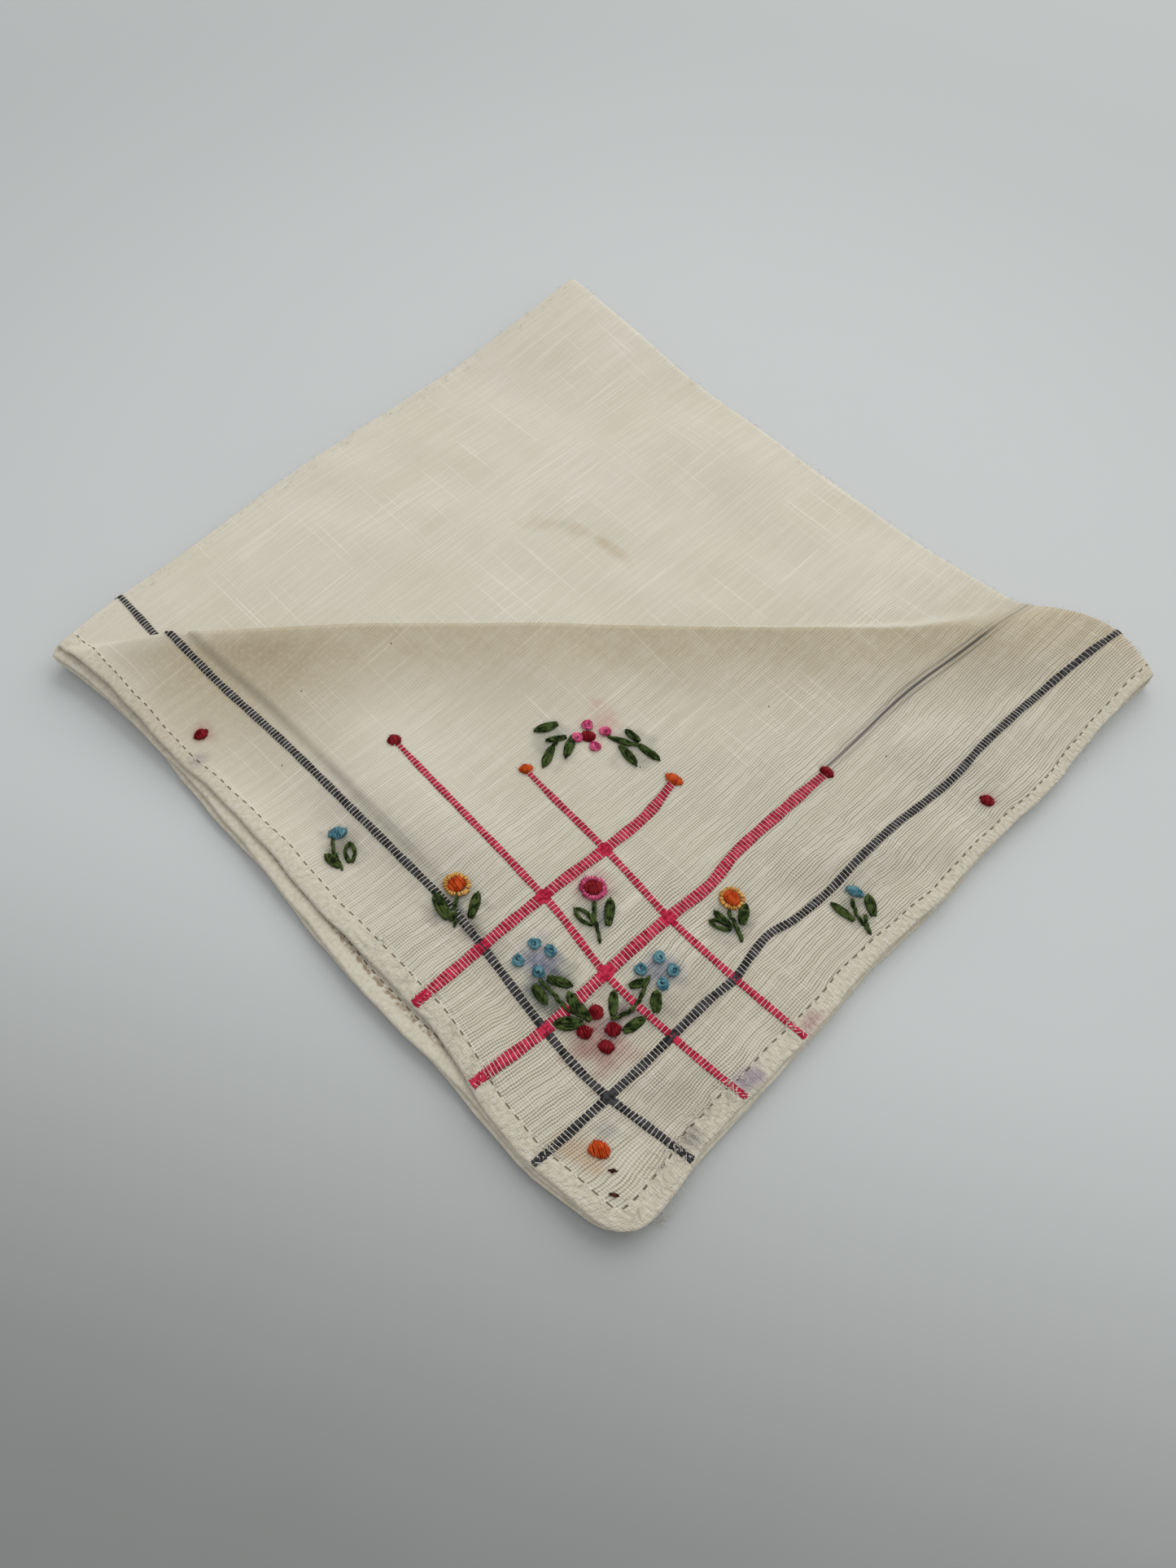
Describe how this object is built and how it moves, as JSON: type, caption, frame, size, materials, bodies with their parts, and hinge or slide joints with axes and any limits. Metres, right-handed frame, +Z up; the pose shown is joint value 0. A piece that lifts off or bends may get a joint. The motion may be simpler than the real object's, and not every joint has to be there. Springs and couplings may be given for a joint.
{
  "type": "folded linen handkerchief",
  "caption": "Sheer linen handkerchief folded in quarters to a diamond, stitched hem, drawn-thread bands and embroidered flowers on its top corner.",
  "frame": {"origin": "on the table, under the middle of the folded cloth's outline", "axes": "+Z up, -Y toward the hemmed front corner, +X toward the right corner"},
  "size_m": [0.2064, 0.2132, 0.009],
  "materials": {
    "linen": "matte"
  },
  "bodies": {
    "root": {"handkerchief": "linen"}
  },
  "joints": []
}
